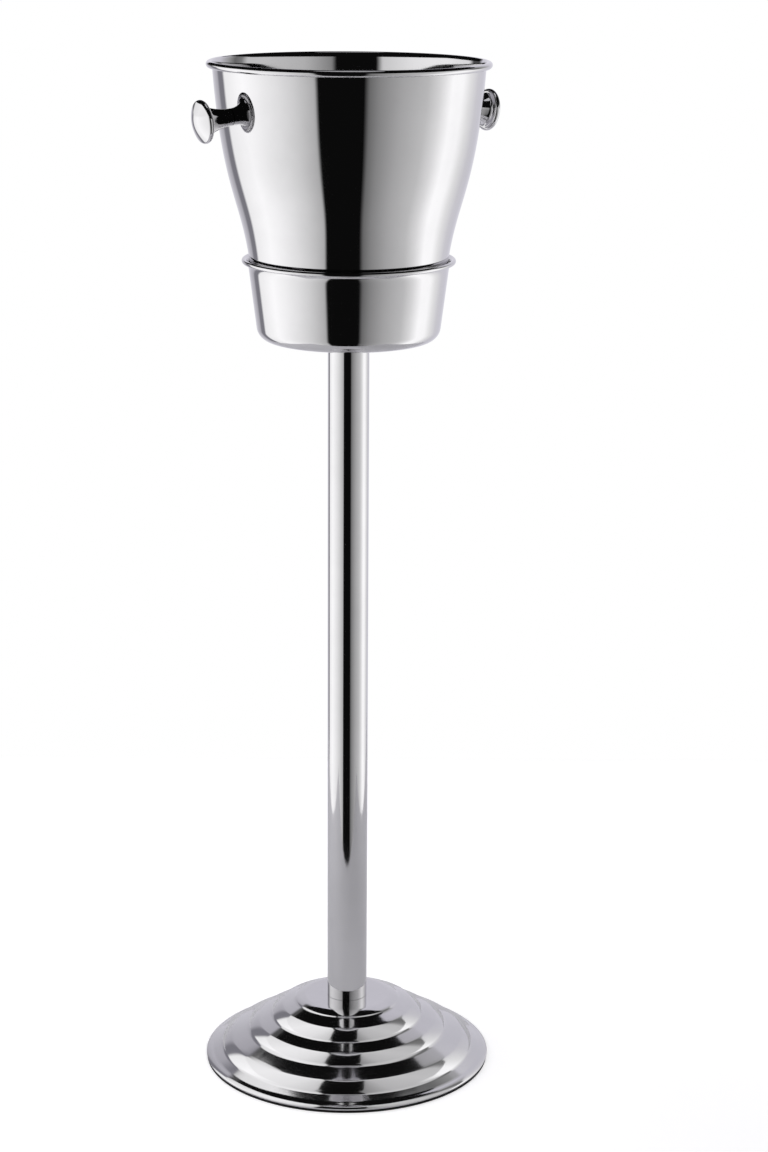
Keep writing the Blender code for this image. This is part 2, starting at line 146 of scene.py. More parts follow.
def bezier(controls, steps):
    """Points on a quadratic or cubic Bezier curve, both ends included."""
    points = []
    for i in range(steps + 1):
        level = [Vector(control) for control in controls]
        t = i / steps
        while len(level) > 1:
            level = [a.lerp(b, t) for a, b in zip(level, level[1:])]
        points.append((level[0].x, level[0].y))
    return points


def line(start, end, steps):
    """Evenly spaced points on a straight line, both ends included."""
    return [(start[0] + (end[0] - start[0]) * i / steps,
             start[1] + (end[1] - start[1]) * i / steps) for i in range(steps + 1)]


def offset(points, distance):
    """The open outline moved sideways, to the right of its direction of travel."""
    moved = []
    for i, point in enumerate(points):
        before = Vector(points[max(i - 1, 0)])
        after = Vector(points[min(i + 1, len(points) - 1)])
        travel = (after - before).normalized()
        moved.append((point[0] + travel.y * distance, point[1] - travel.x * distance))
    return moved


def wall_radius(height, inset):
    """Radius of the holder cup's straight tapered wall, moved inwards by inset."""
    radius = CUP_RADIUS + (height - CUP_RADIUS_HEIGHT) * CUP_TAPER
    return radius - inset * math.hypot(1.0, CUP_TAPER)


def bottom_corner(bottom, radius, inset, steps):
    """The rounded corner from a flat bottom up into the tapered wall."""
    lean = math.atan(CUP_TAPER)
    centre_height = bottom + radius
    centre_radius = wall_radius(centre_height, inset) - radius / math.cos(lean)
    return arc((centre_radius, centre_height), radius, -90.0, -math.degrees(lean), steps)


# ---- turned pieces -----------------------------------------------------------------------------

def add_piece(name, builder, body, replaced, material, sharp=35.0):
    """Makes the builder's mesh a piece that rides on a body and stands for CAD nodes."""
    mesh = bpy.data.meshes.new(name)
    bmesh.ops.recalc_face_normals(builder, faces=builder.faces)
    builder.to_mesh(mesh)
    builder.free()
    mesh.materials.append(material)
    mesh.shade_smooth()
    mesh.set_sharp_from_angle(angle=math.radians(sharp))
    piece = bpy.data.objects.new(name, mesh)
    bpy.context.collection.objects.link(piece)
    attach(piece, body)
    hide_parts(*replaced)
    return piece


def spun(outline, segments, closed, hexagons=()):
    """A builder with the outline turned about Z; an open outline has both ends on the axis.

    The outline points whose numbers are in hexagons make a hexagon instead of a circle.
    """
    builder = bmesh.new()
    rings = []
    for number, (r, z) in enumerate(outline):
        if r < 1e-9:
            rings.append([builder.verts.new((0.0, 0.0, z))] * segments)
            continue
        ring = []
        for i in range(segments):
            angle = 2.0 * math.pi * i / segments
            reach = r
            if number in hexagons:
                reach *= math.cos(math.pi / 6.0) / math.cos(angle % (math.pi / 3.0) - math.pi / 6.0)
            ring.append(builder.verts.new((reach * math.cos(angle), reach * math.sin(angle), z)))
        rings.append(ring)
    pairs = list(zip(rings, rings[1:]))
    if closed:
        pairs.append((rings[-1], rings[0]))
    for one, two in pairs:
        for i in range(segments):
            j = (i + 1) % segments
            corners = []
            for vert in (one[i], one[j], two[j], two[i]):
                if vert not in corners:
                    corners.append(vert)
            builder.faces.new(corners)
    return builder


# ---- materials ---------------------------------------------------------------------------------

STEEL = (0.62, 0.615, 0.625)
FASTENER = (0.52, 0.52, 0.53)
ZINC = (0.46, 0.465, 0.45)


class Nodes:
    """Shorthand for building one node tree."""

    def __init__(self, tree):
        self.tree = tree

    def add(self, kind, **settings):
        """A new node with these settings."""
        node = self.tree.nodes.new(kind)
        for key, value in settings.items():
            setattr(node, key, value)
        return node

    def put(self, socket, value):
        """Links an output into a socket, or sets the socket's own value."""
        if isinstance(value, bpy.types.NodeSocket):
            self.tree.links.new(value, socket)
        else:
            socket.default_value = value

    def math(self, operation, a, b=0.0, c=0.0):
        """Output of a Math node."""
        node = self.add("ShaderNodeMath", operation=operation)
        for socket, value in zip(node.inputs, (a, b, c)):
            self.put(socket, value)
        return node.outputs[0]

    def noise(self, vector, scale, detail=2.0, roughness=0.5):
        """Output of a noise texture, 0 to 1."""
        node = self.add("ShaderNodeTexNoise")
        self.put(node.inputs["Vector"], vector)
        node.inputs["Scale"].default_value = scale
        node.inputs["Detail"].default_value = detail
        node.inputs["Roughness"].default_value = roughness
        return node.outputs["Fac"]

    def span(self, value, low, high, to_low, to_high):
        """The value carried from one range into another, clamped."""
        node = self.add("ShaderNodeMapRange")
        for key, item in zip(("Value", "From Min", "From Max", "To Min", "To Max"),
                             (value, low, high, to_low, to_high)):
            self.put(node.inputs[key], item)
        return node.outputs["Result"]

    def blend_colour(self, factor, one, two):
        """Colour between one and two."""
        node = self.add("ShaderNodeMix", data_type="RGBA")
        self.put(node.inputs["Factor"], factor)
        self.put(node.inputs["A"], (*one, 1.0))
        self.put(node.inputs["B"], (*two, 1.0))
        return node.outputs["Result"]


def new_material(name):
    """A material with its Nodes and its Principled shader."""
    material = bpy.data.materials.new(name)
    material.use_nodes = True
    nodes = Nodes(material.node_tree)
    shader = material.node_tree.nodes["Principled BSDF"]
    return material, nodes, shader


def turned_coordinates(nodes, mount):
    """Object coordinates as (radius, 0, height) about the piece's own axis, for turning marks."""
    place = nodes.add("ShaderNodeTexCoord").outputs["Object"]
    if mount:
        back = nodes.add("ShaderNodeMapping", vector_type="TEXTURE")
        back.inputs["Location"].default_value = mount.to_translation()
        back.inputs["Rotation"].default_value = mount.to_euler()
        nodes.put(back.inputs["Vector"], place)
        place = back.outputs[0]
    parts = nodes.add("ShaderNodeSeparateXYZ")
    nodes.put(parts.inputs[0], place)
    x, y, z = parts.outputs
    radius = nodes.math("SQRT", nodes.math("ADD", nodes.math("MULTIPLY", x, x),
                                           nodes.math("MULTIPLY", y, y)))
    ring = nodes.add("ShaderNodeCombineXYZ")
    nodes.put(ring.inputs[0], radius)
    nodes.put(ring.inputs[2], z)
    return place, ring.outputs[0]


def bump(nodes, shader, layers):
    """Chained Bump nodes; each layer is (height, metres of relief)."""
    normal = None
    for height, distance in layers:
        node = nodes.add("ShaderNodeBump")
        node.inputs["Distance"].default_value = distance
        nodes.put(node.inputs["Height"], height)
        if normal:
            nodes.put(node.inputs["Normal"], normal)
        normal = node.outputs[0]
    nodes.put(shader.inputs["Normal"], normal)


def polished_steel(name, tone, roughness, lines, waviness, mount=None):
    """Mirror-polished stainless steel: faint lines round the axis, hazy patches, slow waves."""
    material, nodes, shader = new_material(name)
    place, ring = turned_coordinates(nodes, mount)
    turning = nodes.noise(ring, 2600.0, 3.0, 0.7)
    haze = nodes.noise(place, 16.0, 4.0, 0.6)
    wave = nodes.noise(place, 22.0, 1.0, 0.4)
    shader.inputs["Metallic"].default_value = 1.0
    dull = tuple(0.93 * channel for channel in tone)
    nodes.put(shader.inputs["Base Color"],
              nodes.blend_colour(nodes.span(haze, 0.40, 0.75, 0.0, 1.0), tone, dull))
    cloudy = nodes.span(haze, 0.42, 0.75, roughness, roughness + 0.035)
    nodes.put(shader.inputs["Roughness"],
              nodes.math("MULTIPLY_ADD", nodes.span(turning, 0.5, 0.8, 0.0, 1.0), 0.02, cloudy))
    bump(nodes, shader, ((wave, waviness), (turning, lines)))
    return material


def plated_metal(name, tone, roughness, grain_scale, relief):
    """Zinc-plated or pressed metal: cloudy tone, faint yellow bloom, fine grain and scuffs."""
    material, nodes, shader = new_material(name)
    place = nodes.add("ShaderNodeTexCoord").outputs["Object"]
    cloud = nodes.noise(place, 60.0, 4.0, 0.6)
    grain = nodes.noise(place, grain_scale, 3.0, 0.6)
    scuff = nodes.noise(place, 320.0, 2.0, 0.8)
    bloom = (tone[0] * 0.92, tone[1] * 0.88, tone[2] * 0.74)
    nodes.put(shader.inputs["Base Color"],
              nodes.blend_colour(nodes.span(cloud, 0.42, 0.68, 0.0, 1.0), tone, bloom))
    shader.inputs["Metallic"].default_value = 1.0
    worn = nodes.span(scuff, 0.45, 0.75, roughness, roughness + 0.14)
    nodes.put(shader.inputs["Roughness"],
              nodes.math("MULTIPLY_ADD", nodes.span(cloud, 0.3, 0.7, 0.0, 1.0), 0.06, worn))
    bump(nodes, shader, ((cloud, relief * 4.0), (grain, relief)))
    return material


def cast_iron(name):
    """Painted casting: sandy grain with rust showing in the hollows."""
    material, nodes, shader = new_material(name)
    place = nodes.add("ShaderNodeTexCoord").outputs["Object"]
    sand = nodes.noise(place, 700.0, 4.0, 0.7)
    lumps = nodes.noise(place, 90.0, 3.0, 0.5)
    nodes.put(shader.inputs["Base Color"],
              nodes.blend_colour(nodes.span(lumps, 0.52, 0.72, 0.0, 1.0),
                                 (0.045, 0.045, 0.048), (0.085, 0.055, 0.040)))
    nodes.put(shader.inputs["Roughness"], nodes.span(sand, 0.3, 0.7, 0.62, 0.85))
    bump(nodes, shader, ((lumps, 2.0e-4), (sand, 1.0e-4)))
    return material


def dress(node, material):
    """Gives a CAD node that stays in view its finished material."""
    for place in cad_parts[node].material_slots:
        place.material = material


# ---- foot --------------------------------------------------------------------------------------

def foot_surface(steps):
    """The foot's top side from the flat top to the widest point of its rolled edge."""
    points = []
    for step in FOOT_STEPS:
        if points:
            points += line(points[-1], step[0], 5)[1:-1]
        tread_end, shoulder, riser_foot = [Vector(point) for point in step]
        points += bezier((tread_end, tread_end.lerp(shoulder, SHOULDER_PULL),
                          riser_foot.lerp(shoulder, RISER_PULL), riser_foot), steps)
    points += line(points[-1], FOOT_SKIRT[0], 5)[1:-1]
    points += bezier(FOOT_SKIRT, steps)
    return points


def make_base_cover():
    """The spun cover: a skin of sheet thickness, with its edge rolled under."""
    bead_centre = (FOOT_RADIUS - FOOT_BEAD, FOOT_BEAD_HEIGHT)
    outside = line((FOOT_HOLE, FOOT_HEIGHT), FOOT_STEPS[0][0], 6)[:-1] + foot_surface(14)
    outside += arc(bead_centre, FOOT_BEAD, 0.0, -180.0, 20)[1:]
    inside = offset([(FOOT_HOLE, FOOT_HEIGHT)] + foot_surface(10)[:-5], SHEET)
    outline = outside + list(reversed(inside))
    material = polished_steel("steel_base_cover", STEEL, 0.075, 1.6e-6, 3.0e-5)
    return add_piece("foot_cover", spun(outline, BIG_SEGMENTS, True), "stand",
                     ["base_cover"], material)


def black_moulding(name):
    """Matt black plastic: fine grain, rubbed paler in patches."""
    material, nodes, shader = new_material(name)
    place = nodes.add("ShaderNodeTexCoord").outputs["Object"]
    grain = nodes.noise(place, 1400.0, 3.0, 0.6)
    rub = nodes.noise(place, 45.0, 3.0, 0.6)
    nodes.put(shader.inputs["Base Color"],
              nodes.blend_colour(nodes.span(rub, 0.45, 0.75, 0.0, 1.0),
                                 (0.012, 0.012, 0.013), (0.030, 0.030, 0.032)))
    nodes.put(shader.inputs["Roughness"], nodes.span(rub, 0.3, 0.7, 0.42, 0.62))
    bump(nodes, shader, ((grain, 2.0e-5),))
    return material


def make_edge_ring():
    """The moulded ring between the rolled edge and the bottom plate."""
    bead_inner = FOOT_RADIUS - 2.0 * FOOT_BEAD
    outline = [
        (RING_INNER, 0.0), (RING_OUTER, 0.0), (RING_OUTER, RING_FLANGE),
        (RING_STEP[0], RING_FLANGE), (bead_inner - 2.0 * GAP, RING_STEP[1]),
        (bead_inner - 2.0 * GAP, PLATE_TOP),
        (PLATE_OUTER + CLEARANCE, PLATE_TOP), (PLATE_OUTER + CLEARANCE, PLATE_BOTTOM - GAP),
        (RING_INNER, PLATE_BOTTOM - GAP),
    ]
    return add_piece("foot_edge_ring", spun(outline, BIG_SEGMENTS, True), "stand",
                     ["base_edge_ring"], black_moulding("black_edge_ring"))


# ---- column ------------------------------------------------------------------------------------

def make_tube():
    """The column, run right up to the foot and the cup so that no seam gapes."""
    bottom = FOOT_HEIGHT + 0.00002
    top = CUP_BOTTOM - 0.00004
    inner = TUBE_RADIUS - TUBE_WALL
    chamfer = 0.0002
    outline = [(inner, bottom), (TUBE_RADIUS - chamfer, bottom)]
    outline += line((TUBE_RADIUS, bottom + chamfer), (TUBE_RADIUS, top - chamfer), 24)
    outline += [(TUBE_RADIUS - chamfer, top), (inner, top)]
    material = polished_steel("steel_tube", STEEL, 0.045, 8.0e-7, 4.0e-6)
    return add_piece("column_tube", spun(outline, KNOB_SEGMENTS, True), "stand",
                     ["pole_tube"], material)


# ---- holder cup --------------------------------------------------------------------------------

def make_holder_cup():
    """The cup: floor, rounded corner and tapered wall, flared into a rolled lip."""
    lip_r, lip_z = CUP_LIP
    wall_top = CUP_RADIUS_HEIGHT
    corner = bottom_corner(CUP_BOTTOM, CUP_CORNER, 0.0, 24)
    outside = line((CUP_HOLE, CUP_BOTTOM), corner[0], 6)[:-1] + corner
    outside += line(corner[-1], (CUP_RADIUS, wall_top), 16)[1:-1]
    flare_end = arc(CUP_LIP, CUP_LIP_BEAD, 220.0, 220.0, 1)[0]
    outside += bezier(((CUP_RADIUS, wall_top), (CUP_RADIUS + 0.0006, lip_z - 0.0029), flare_end),
                      12)
    outside += arc(CUP_LIP, CUP_LIP_BEAD, 220.0, 480.0, 26)[1:]
    crown = outside[-1]
    low_wall = (wall_radius(wall_top - 0.002, SHEET), wall_top - 0.002)
    inside = bezier((crown, (lip_r - 0.0034, lip_z + 0.0006), low_wall), 12)[1:]
    inner_corner = bottom_corner(CUP_BOTTOM + SHEET, CUP_CORNER - SHEET, SHEET, 20)
    inside += line(low_wall, inner_corner[-1], 10)[1:-1]
    inside += list(reversed(inner_corner)) + [(CUP_HOLE, CUP_BOTTOM + SHEET)]
    material = polished_steel("steel_holder_cup", STEEL, 0.045, 1.0e-6, 1.2e-5)
    return add_piece("holder_cup_shell", spun(outside + inside, BIG_SEGMENTS, True), "stand",
                     ["holder_cup"], material)


# ---- bucket ------------------------------------------------------------------------------------

def bucket_wall(inset, steps):
    """The bucket's curved wall, from the end of the straight taper up to the rim."""
    start = wall_radius(BUCKET_WALL_START, SHEET + NEST_GAP)
    top = (BUCKET_TOP_RADIUS, BUCKET_TOP_HEIGHT)
    controls = (
        (start, BUCKET_WALL_START),
        (start + BUCKET_WALL_RISE * CUP_TAPER, BUCKET_WALL_START + BUCKET_WALL_RISE),
        (top[0] - BUCKET_TOP_RISE * BUCKET_TOP_TAPER, top[1] - BUCKET_TOP_RISE),
        top,
    )
    points = bezier(controls, steps)
    return offset(points, -inset) if inset else points


def bucket_corner(depth):
    """The bucket's lower corner, depth inside its outer face."""
    corner = CUP_CORNER - SHEET - NEST_GAP + GAP
    return bottom_corner(BUCKET_BOTTOM + depth, corner - depth, SHEET + NEST_GAP + depth, 18)


def make_bucket_shell():
    """The bucket: raised bottom, rounded corner and curved wall up to the rolled rim."""
    rim_r, rim_z = BUCKET_RIM
    recess = BUCKET_BOTTOM + BUCKET_RECESS_RISE
    slope = 0.0045
    low_corner = bucket_corner(0.0)
    wall = bucket_wall(0.0, 48)
    outside = [(0.0, recess), (BUCKET_RECESS_RADIUS - 0.002, recess)]
    outside += bezier(((BUCKET_RECESS_RADIUS - 0.001, recess), (BUCKET_RECESS_RADIUS, recess),
                       (BUCKET_RECESS_RADIUS + 0.0006, recess - 0.0010)), 5)
    outside += [(BUCKET_RECESS_RADIUS + slope, BUCKET_BOTTOM)] + low_corner
    outside += line(low_corner[-1], wall[0], 12)[1:-1] + wall[:-1]
    rim_join = arc(BUCKET_RIM, BUCKET_RIM_BEAD, 212.0, 212.0, 1)[0]
    outside += bezier(((BUCKET_TOP_RADIUS, BUCKET_TOP_HEIGHT),
                       (BUCKET_TOP_RADIUS + 0.0001, BUCKET_TOP_HEIGHT + 0.0032), rim_join), 10)
    outside += arc(BUCKET_RIM, BUCKET_RIM_BEAD, 212.0, 480.0, 30)[1:]
    inner_top = (BUCKET_TOP_RADIUS - SHEET, BUCKET_TOP_HEIGHT)
    inner_wall = list(reversed(bucket_wall(SHEET, 48)))
    inner_corner = list(reversed(bucket_corner(SHEET)))
    inside = bezier((outside[-1], (rim_r - 0.0026, rim_z + 0.0014), inner_top), 14)[1:]
    inside += inner_wall[1:] + line(inner_wall[-1], inner_corner[0], 12)[1:-1] + inner_corner
    inside += [(BUCKET_RECESS_RADIUS + slope + 0.0004, BUCKET_BOTTOM + SHEET)]
    inside += bezier(((BUCKET_RECESS_RADIUS + 0.0010, recess + SHEET - 0.0010),
                      (BUCKET_RECESS_RADIUS + 0.0004, recess + SHEET),
                      (BUCKET_RECESS_RADIUS - 0.0006, recess + SHEET)), 5)
    inside += [(0.0, recess + SHEET)]
    material = polished_steel("steel_bucket", STEEL, 0.035, 8.0e-7, 1.0e-5)
    return add_piece("bucket_body", spun(outside + inside, BIG_SEGMENTS, False), "bucket",
                     ["bucket_shell"], material)


def wall_outside(height, wall=tuple(bucket_wall(0.0, 96))):
    """Radius of the bucket's outside at a height on its curved wall."""
    for (r0, z0), (r1, z1) in zip(wall, wall[1:]):
        if z0 <= height <= z1:
            return r0 + (r1 - r0) * (height - z0) / (z1 - z0)
    return wall[-1][0]


def knob_outline():
    """Slim neck that swells to a head with a rounded edge and a domed face."""
    outline = [(0.0, KNOB_BORE_DEPTH), (KNOB_BORE, KNOB_BORE_DEPTH)]
    outline += line((KNOB_BORE, KNOB_NECK_START), (KNOB_NECK_RADIUS, KNOB_NECK_START), 6)
    outline += bezier(((KNOB_NECK_RADIUS, 0.0), (0.0063, 0.0050), (0.0076, 0.0120),
                       (0.0096, 0.0165)), 24)
    edge = arc(KNOB_RIM, KNOB_RIM_BEAD, -100.0, 62.0, 26)
    outline += bezier(((0.0096, 0.0165), (0.0105, 0.0188), (0.0114, 0.0202), edge[0]), 12)[1:]
    outline += edge[1:]
    outline += bezier((edge[-1], (0.0105, 0.0270), (0.0055, KNOB_LENGTH), (0.0, KNOB_LENGTH)),
                      20)[1:]
    return outline


def knob_mount(sign):
    """Where a knob's foot meets the wall, its own +Z pointing straight out of the wall."""
    turn = Matrix.Rotation(sign * (math.pi / 2.0 + KNOB_TILT), 4, "Y")
    return Matrix.Translation((sign * KNOB_WALL_RADIUS, 0.0, KNOB_HEIGHT)) @ turn


def make_knob(side, sign):
    """A knob turned about its mount's Z axis, with the end of its neck laid on the wall."""
    builder = spun(knob_outline(), KNOB_SEGMENTS, False)
    mount = knob_mount(sign)
    for vert in builder.verts:
        if vert.co.z > KNOB_NECK_START + 0.0001:
            continue
        x, y = vert.co.x, vert.co.y
        low, high = -0.006, 0.002
        for _ in range(30):
            middle = (low + high) / 2.0
            point = mount @ Vector((x, y, middle))
            if math.hypot(point.x, point.y) > wall_outside(point.z) + GAP:
                high = middle
            else:
                low = middle
        vert.co.z = high
    builder.transform(mount)
    material = polished_steel("steel_%s_knob" % side, STEEL, 0.03, 6.0e-7, 2.0e-6, mount)
    return add_piece(side + "_knob_turning", builder, "bucket",
                     [side + "_knob"], material)


# ---- screws, washers and the pieces that stay as they are ---------------------------------------

def ring_outline(inner, outer, low, top):
    """A washer's section, with its outer corners broken."""
    edge = 0.00015
    return [(inner, low), (outer - edge, low), (outer, low + edge), (outer, top - edge),
            (outer - edge, top), (inner, top)]


def socket_screw(shank, head, seat, head_height, tip, recess):
    """A domed screw with a hexagon socket, head down; the socket's points are numbers 1 and 2."""
    low = seat - head_height
    floor = low + 0.6 * head_height
    outline = [(0.0, floor), (recess, floor), (recess, low + 0.0001), (1.2 * recess, low)]
    outline += bezier(((0.45 * head, low), (0.95 * head, low + 0.05 * head_height),
                       (head, seat - 0.0004)), 12)
    outline += [(head, seat - 0.0001), (head - 0.0001, seat), (shank, seat)]
    return outline + [(shank, tip - 0.4 * shank), (0.5 * shank, tip), (0.0, tip)]


def small_piece(name, outline, mount, body, node, material, screw=False):
    """A washer or gasket, or a screw, whose outline starts and ends on its axis."""
    builder = spun(outline, SMALL_SEGMENTS, not screw, (1, 2) if screw else ())
    builder.transform(mount)
    return add_piece(name, builder, body, [node], material, 28.0)


def turned_fastener(name, mount):
    """Duller turned steel, its marks running round the mount's Z axis."""
    return polished_steel(name, FASTENER, 0.16, 3.0e-6, 4.0e-6, mount)


def make_plate_screws():
    screw = socket_screw(PLATE_SCREW_RADIUS, 0.0038, PLATE_BOTTOM - GAP, 0.0021, 0.0122, 0.0013)
    for i in range(3):
        turn = 2.0 * math.pi * (i + 0.5) / 3
        mount = Matrix.Translation((PLATE_SCREW_CIRCLE * math.cos(turn),
                                    PLATE_SCREW_CIRCLE * math.sin(turn), 0.0))
        small_piece("plate_screw_fine_%d" % (i + 1), screw, mount, "stand",
                    "base_plate_screw_%d" % (i + 1),
                    turned_fastener("plate_screw_metal_%d" % (i + 1), mount), True)


def make_knob_fixing(side, sign):
    """Gasket, washer and screw on the inside of the bucket's wall."""
    mount = knob_mount(sign)
    hole = KNOB_SCREW_RADIUS + CLEARANCE
    gasket_top = -SHEET - 0.0010
    gasket_low = gasket_top - SEAL_THICKNESS
    washer_top = gasket_low - GAP
    washer_low = washer_top - SEAL_THICKNESS
    small_piece(side + "_gasket_fine", ring_outline(hole, GASKET_RADIUS, gasket_low, gasket_top),
                mount, "bucket", side + "_knob_gasket",
                black_moulding(side + "_gasket_black"))
    small_piece(side + "_washer_fine", ring_outline(hole, WASHER_RADIUS, washer_low, washer_top),
                mount, "bucket", side + "_knob_washer",
                turned_fastener(side + "_washer_metal", mount))
    small_piece(side + "_screw_fine",
                socket_screw(KNOB_SCREW_RADIUS, 0.0048, washer_low - GAP, 0.0030, 0.0130, 0.0016),
                mount, "bucket", side + "_knob_screw",
                turned_fastener(side + "_screw_metal", mount), True)


def make_holder_fixing():
    """Washer and low-head screw on the holder cup's floor."""
    still = Matrix.Identity(4)
    shank = HOLDER_SCREW_RADIUS
    low = CUP_BOTTOM + SHEET + GAP
    washer_top = low + HOLDER_WASHER_THICKNESS
    small_piece("cup_washer_fine",
                ring_outline(shank + 0.0005, HOLDER_WASHER_RADIUS, low, washer_top), still,
                "stand", "holder_washer",
                turned_fastener("cup_washer_metal", None))
    seat = washer_top + GAP
    head, socket, tip = 0.0087, 0.0028, seat - 0.0275
    screw = [(0.0, seat + 0.0018), (socket, seat + 0.0018), (socket, seat + 0.0041)]
    screw += bezier(((0.0034, seat + 0.0042), (0.0080, seat + 0.0040), (head, seat + 0.0004)), 12)
    screw += [(head, seat + 0.0001), (head - 0.0001, seat), (shank, seat),
              (shank, tip + 0.0015), (socket, tip), (0.0, tip)]
    small_piece("cup_screw_fine", screw, still, "stand", "holder_screw",
                turned_fastener("cup_screw_metal", None), True)


# CAD nodes in plated steel: (node, material, roughness, scale of the grain, metres of relief).
ZINC_NODES = (
    ("base_plate", "plate_zinc", 0.34, 1500.0, 8.0e-6),
    ("base_washer", "washer_zinc", 0.28, 2200.0, 5.0e-6),
    ("base_spring_washer", "spring_washer_zinc_fine", 0.30, 2200.0, 5.0e-6),
    ("base_bolt", "bolt_zinc_fine", 0.26, 2000.0, 6.0e-6),
    ("pole_bottom_plug", "bottom_plug_zinc", 0.32, 1800.0, 6.0e-6),
    ("pole_top_plug", "top_plug_zinc", 0.32, 1800.0, 6.0e-6),
)


def dress_kept_nodes():
    """Materials for the CAD nodes that stay as they are, most of them inside or underneath."""
    dress("base_ballast", cast_iron("ballast_casting"))
    for node, name, roughness, grain_scale, relief in ZINC_NODES:
        dress(node, plated_metal(name, ZINC, roughness, grain_scale, relief))


# ---- floor, studio light and camera ------------------------------------------------------------

FLOOR_CLEARANCE = 0.0002
FLOOR_LIFT = 0.46

LAMP_POWER = 2.0        # emission strength of a lamp whose brightness below is LAMP_POWER
DARK = 0.005
REAR = (0.80, 0.785, 0.86)
REAR_DARK = (0.28, 0.275, 0.31)

# Brightness round the stand, in degrees from the camera, negative to the camera's left. The low
# band is what the bucket, cup and column mirror; the high band is seen only from the foot.
AROUND_LOW = (
    (-180, REAR), (-158, (0.74, 0.73, 0.79)), (-142, (0.58, 0.57, 0.62)), (-137, REAR_DARK),
    (-128, REAR_DARK), (-124, 1.30), (-97, 1.55), (-80, 1.42), (-60, 1.20), (-45, 0.98),
    (-27, 0.66), (-24.5, DARK), (13, DARK), (17, 0.22), (25, 0.36), (43, 0.58), (67, 0.80),
    (80, 1.10), (94, 1.55), (108, 1.50), (120, 1.15), (135, (0.86, 0.85, 0.90)),
    (148, (0.78, 0.77, 0.84)), (180, REAR),
)
AROUND_HIGH = (
    (-180, REAR), (-160, REAR), (-152, 0.10), (-138, 0.10), (-130, 1.15), (-97, 1.35),
    (-60, 1.20), (-30, 0.90), (-24.5, DARK), (13, DARK), (17, 0.35), (43, 0.70), (80, 0.85),
    (104, 0.80), (112, 0.30), (122, 0.20), (132, 0.45), (150, REAR), (180, REAR),
)
WALL_RADIUS = 1.0
WALL_LOW = -0.6
WALL_BAND = 0.80        # where the low band blends into the high one
WALL_BLEND = 0.03
# Height of the wall's top edge by the same angle.
WALL_TOPS = ((-180, 1.15), (-150, 0.91), (-120, 1.00), (-100, 1.09), (100, 1.09), (150, 1.40),
             (180, 1.15))
# Two panels below the cup, which from above only the foot mirrors: (right, towards camera).
CANOPY_HEIGHT = 0.585
CANOPY_LEFT = ((-0.12, 0.01), (-0.12, 0.12), (-0.42, 0.90), (-0.80, 0.58), (-0.98, 0.0),
               (-0.80, -0.50), (-0.49, -0.50), (-0.29, -0.14), (-0.17, -0.02))
CANOPY_RIGHT = ((0.10, 0.01), (0.17, -0.02), (0.29, -0.14), (0.46, -0.42), (0.80, -0.40),
                (0.98, 0.0), (0.80, 0.58), (0.24, 0.96), (0.10, 0.12))
CEILING_RADIUS = 0.34
CEILING_HEIGHT = 2.1
CEILING_LIGHT = 0.9
TOP_LIGHT_SIZE = 1.5
TOP_LIGHT_POWER = 16.0
TOP_LIGHT_HEIGHT = 2.2


def make_floor():
    """A pale table top that ends a little in front of the stand."""
    front, back, side, corner, thickness = 0.46, 0.75, 0.60, 0.05, 0.02
    builder = bmesh.new()
    outline = []
    right, far, near = side - corner, back - corner, corner - front
    for cx, cy, start in ((right, far, 0), (-right, far, 90), (-right, near, 180),
                          (right, near, 270)):
        outline += arc((cx, cy), corner, start, start + 90, 8)
    top = [builder.verts.new((x, y, 0.0)) for x, y in outline]
    low = [builder.verts.new((x, y, -thickness)) for x, y in outline]
    builder.faces.new(top)
    builder.faces.new(list(reversed(low)))
    for i in range(len(top)):
        j = (i + 1) % len(top)
        builder.faces.new((top[j], top[i], low[i], low[j]))
    mesh = bpy.data.meshes.new("floor")
    bmesh.ops.recalc_face_normals(builder, faces=builder.faces)
    builder.to_mesh(mesh)
    builder.free()
    floor = bpy.data.objects.new("floor", mesh)
    floor.rotation_euler = (0.0, 0.0, -CAMERA_TURN)
    floor.location = (0.0, 0.0, -FLOOR_CLEARANCE)
    bpy.context.collection.objects.link(floor)
    mesh.materials.append(floor_paper())


def floor_paper():
    """Pale paper with a fine grain, lifted a little for the camera so that it meets the white."""
    material, nodes, shader = new_material("floor_paper")
    place = nodes.add("ShaderNodeTexCoord").outputs["Object"]
    grain = nodes.noise(place, 900.0, 3.0, 0.6)
    nodes.put(shader.inputs["Base Color"],
              nodes.blend_colour(grain, (0.775, 0.77, 0.80), (0.795, 0.79, 0.82)))
    shader.inputs["Roughness"].default_value = 0.9
    shader.inputs["Specular IOR Level"].default_value = 0.1
    seen = nodes.add("ShaderNodeLightPath").outputs["Is Camera Ray"]
    shader.inputs["Emission Color"].default_value = (1.0, 1.0, 0.98, 1.0)
    nodes.put(shader.inputs["Emission Strength"], nodes.math("MULTIPLY", seen, FLOOR_LIFT))
    return material


def ramp(nodes, factor, stops):
    """A colour ramp over a full turn; stops are (degrees, brightness or colour)."""
    node = nodes.add("ShaderNodeValToRGB")
    nodes.put(node.inputs[0], factor)
    elements = node.color_ramp.elements
    while len(elements) < len(stops):
        elements.new(0.5)
    for element, (degrees, _) in zip(elements, stops):
        element.position = (degrees + 180.0) / 360.0
    for element, (_, value) in zip(elements, stops):
        colour = value if isinstance(value, tuple) else (value, value, value)
        element.color = (*[channel / LAMP_POWER for channel in colour], 1.0)
    return node.outputs[0]


def stops_at(degrees, stops):
    """Straight-line value between (degrees, value) stops."""
    for (d0, v0), (d1, v1) in zip(stops, stops[1:]):
        if d0 <= degrees <= d1:
            return v0 + (v1 - v0) * (degrees - d0) / (d1 - d0)
    return stops[-1][1]


